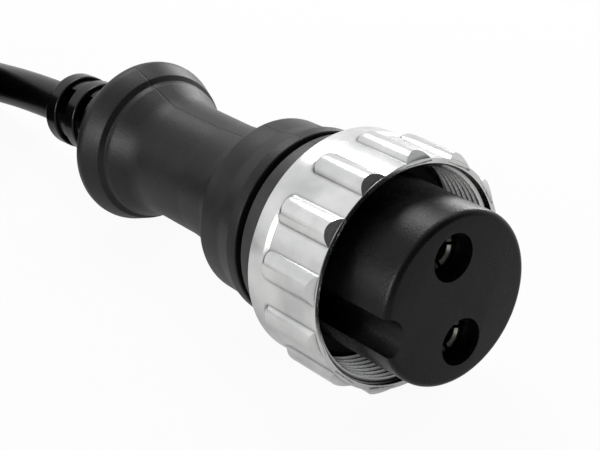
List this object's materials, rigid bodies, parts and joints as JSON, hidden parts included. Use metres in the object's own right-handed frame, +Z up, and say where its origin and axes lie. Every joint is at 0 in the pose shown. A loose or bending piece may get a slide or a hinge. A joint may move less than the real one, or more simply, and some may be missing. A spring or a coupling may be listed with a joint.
{
  "type": "two-pin cable plug connector",
  "caption": "Round cable plug with a black nose, key groove and contact holes, a ribbed threaded coupling ring, a rubber grip, a slotted strain relief and a coiled cable.",
  "frame": {"origin": "centre of the plug's footprint on the surface that it lies on, the free cable left out", "axes": "+X towards the mating face, +Z up, +Y to the left of the plug seen from behind; the axis of the plug rises towards the nose by 4.3 degrees"},
  "size_m": [0.2064, 0.1134, 0.0412],
  "materials": {
    "nose_plastic": "satin moulded black",
    "shell_plastic": "fine-grained moulded black",
    "insulator_plastic": "moulded, matt",
    "housing_plastic": "moulded, matt",
    "grip_rubber": "grainy black rubber with a soft sheen",
    "seal_rubber": "smooth rubber",
    "ring_nickel": "bright satin nickel on die-cast metal, turned front rim",
    "contact_silver": "silver-plated brass, turned",
    "spring_steel": "spring steel, bright",
    "screw_steel": "zinc-plated steel",
    "relief_plastic": "glossy black moulding",
    "cable_sheath": "glossy black cable sheath",
    "core_red": "coloured core insulation",
    "core_black": "coloured core insulation",
    "copper": "bare stranded copper",
    "ferrule_tin": "tinned crimp"
  },
  "bodies": {
    "ring": {"coupling_ring": "ring_nickel"},
    "plug": {"nose_insert": "nose_plastic", "contact_retainer": "insulator_plastic", "plug_shell": "shell_plastic", "face_seal": "seal_rubber", "spigot_seal": "seal_rubber", "housing_seal": "seal_rubber", "snap_ring": "spring_steel", "spring_washer": "spring_steel", "rear_housing": "housing_plastic", "rubber_grip": "grip_rubber", "cable_seal": "seal_rubber", "thrust_washer": "insulator_plastic", "clamp_collet": "insulator_plastic", "strain_relief": "relief_plastic", "cable_entry": "cable_sheath", "retainer_screw_left": "screw_steel", "retainer_screw_right": "screw_steel", "socket_contact_upper": "contact_silver", "socket_contact_lower": "contact_silver", "spring_clip_upper": "spring_steel", "spring_clip_lower": "spring_steel", "terminal_screw_upper": "screw_steel", "terminal_screw_lower": "screw_steel", "strands_upper": "copper", "strands_lower": "copper", "core_upper": "core_red", "core_lower": "core_black", "cable": "cable_sheath", "cable_coil": "cable_sheath", "cable_end": "cable_sheath", "end_core_left": "core_red", "end_core_right": "core_black", "ferrule_left": "ferrule_tin", "ferrule_right": "ferrule_tin"}
  },
  "joints": [
    {"name": "coupling ring spin", "type": "hinge", "parent": "plug", "child": "ring", "pos_m": [0.02813, 0, 0.0197], "axis": [0.9972, 0, 0.0751], "continuous": true}
  ]
}
